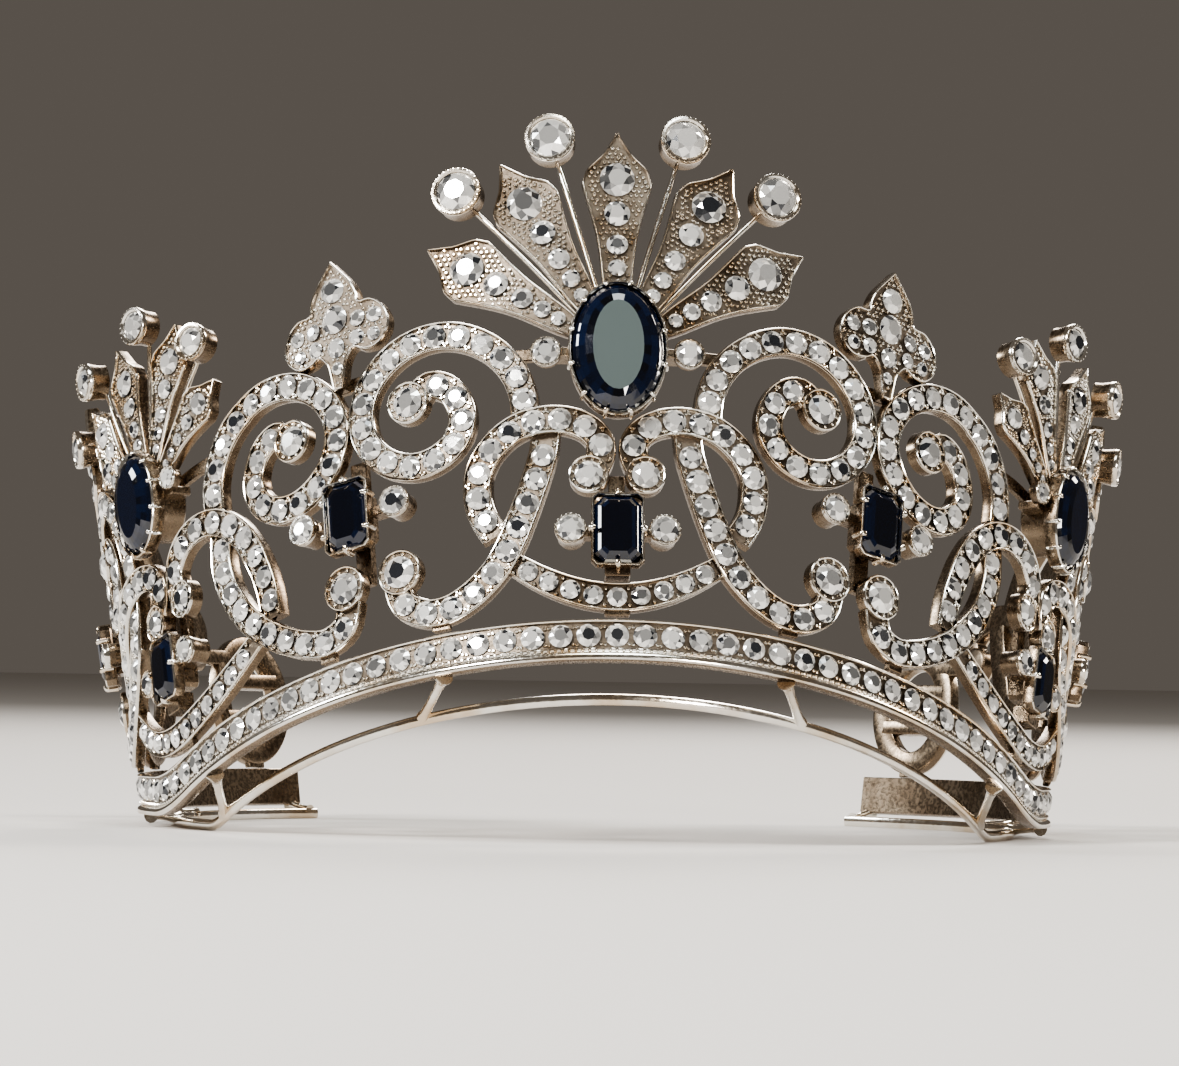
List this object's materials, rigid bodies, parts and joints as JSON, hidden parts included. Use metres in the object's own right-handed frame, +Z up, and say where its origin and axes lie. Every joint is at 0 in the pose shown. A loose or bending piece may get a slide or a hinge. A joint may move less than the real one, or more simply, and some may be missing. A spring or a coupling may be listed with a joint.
{
  "type": "openwork diadem",
  "caption": "Rigid openwork diadem with mirrored scrolls over an arched band, fan crests, leaves and oval and oblong stones, standing on an inner head wire.",
  "frame": {"origin": "on the floor under the middle of the object's box", "axes": "+Z up, the front faces -Y, +X to the viewer's right"},
  "size_m": [0.1782, 0.1395, 0.1166],
  "materials": {
    "white_metal": "polished silver-white metal",
    "sapphire": "dark blue faceted stone",
    "brilliant": "clear faceted stone"
  },
  "bodies": {
    "root": {"base_band": "white_metal", "head_wire": "white_metal", "gallery_centre": "white_metal", "gallery_left": "white_metal", "gallery_right": "white_metal", "gallery_end_left": "white_metal", "gallery_end_right": "white_metal", "leaf_left": "white_metal", "leaf_right": "white_metal", "leaf_rear_left": "white_metal", "leaf_rear_right": "white_metal", "crest_centre": "white_metal", "crest_left": "white_metal", "crest_right": "white_metal", "oblong_setting_centre": "white_metal", "oblong_setting_inner_left": "white_metal", "oblong_setting_inner_right": "white_metal", "oblong_setting_side_left": "white_metal", "oblong_setting_side_right": "white_metal", "oblong_setting_rear_left": "white_metal", "oblong_setting_rear_right": "white_metal", "oval_sapphire_centre": "sapphire", "oval_sapphire_left": "sapphire", "oval_sapphire_right": "sapphire", "oblong_sapphire_centre": "sapphire", "oblong_sapphire_inner_left": "sapphire", "oblong_sapphire_inner_right": "sapphire", "oblong_sapphire_side_left": "sapphire", "oblong_sapphire_side_right": "sapphire", "oblong_sapphire_rear_left": "sapphire", "oblong_sapphire_rear_right": "sapphire", "fan_brilliant_centre_1": "brilliant", "fan_brilliant_centre_2": "brilliant", "fan_brilliant_centre_3": "brilliant", "fan_brilliant_centre_4": "brilliant", "fan_brilliant_left_1": "brilliant", "fan_brilliant_left_2": "brilliant", "fan_brilliant_left_3": "brilliant", "fan_brilliant_left_4": "brilliant", "fan_brilliant_right_1": "brilliant", "fan_brilliant_right_2": "brilliant", "fan_brilliant_right_3": "brilliant", "fan_brilliant_right_4": "brilliant", "flank_brilliants": "brilliant"}
  },
  "joints": []
}
